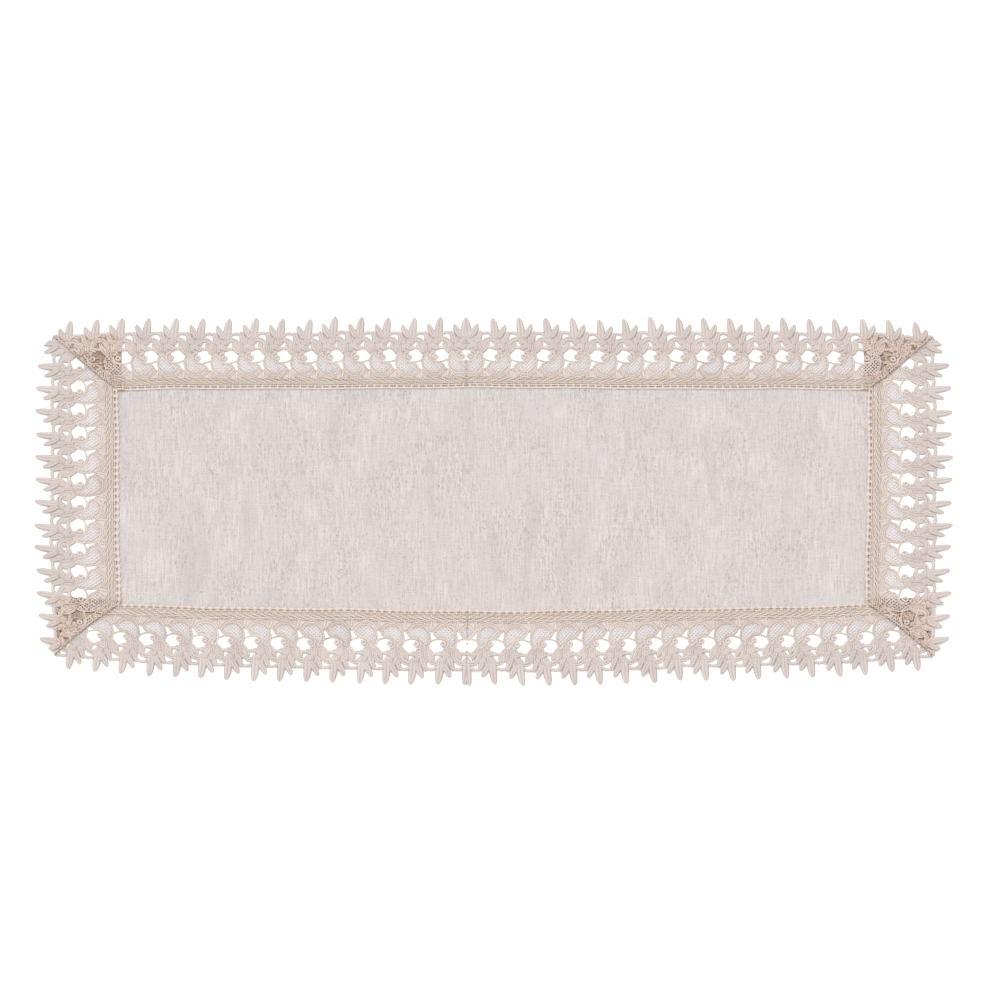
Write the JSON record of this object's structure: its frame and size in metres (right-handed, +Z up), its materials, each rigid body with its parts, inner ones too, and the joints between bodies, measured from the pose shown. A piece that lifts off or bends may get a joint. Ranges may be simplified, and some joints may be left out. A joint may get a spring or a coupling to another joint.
{
  "type": "table runner",
  "caption": "Rectangular woven linen-look table runner with a wide guipure lace border, mitred at the corners and fringed with leaf sprays.",
  "frame": {"origin": "centre of the underside, on the surface the runner lies on", "axes": "+X along the runner's length, +Y across it, +Z up from the underside to the face"},
  "size_m": [0.85, 0.4, 0.0025],
  "materials": {
    "linen": "matt plain weave with slubs",
    "lace": "satin-stitched lace with a soft sheen",
    "thread": "soft twisted thread"
  },
  "bodies": {
    "root": {"butt_seam_north": "thread", "butt_seam_south": "thread", "centre_panel": "linen", "header_seam_east": "thread", "header_seam_north": "thread", "header_seam_south": "thread", "header_seam_west": "thread", "lace_east": "lace", "lace_fold_ne": "lace", "lace_fold_nw": "lace", "lace_fold_se": "lace", "lace_fold_sw": "lace", "lace_north_east": "lace", "lace_north_west": "lace", "lace_south_east": "lace", "lace_south_west": "lace", "lace_west": "lace", "mitre_seam_ne": "thread", "mitre_seam_nw": "thread", "mitre_seam_se": "thread", "mitre_seam_sw": "thread"}
  },
  "joints": []
}
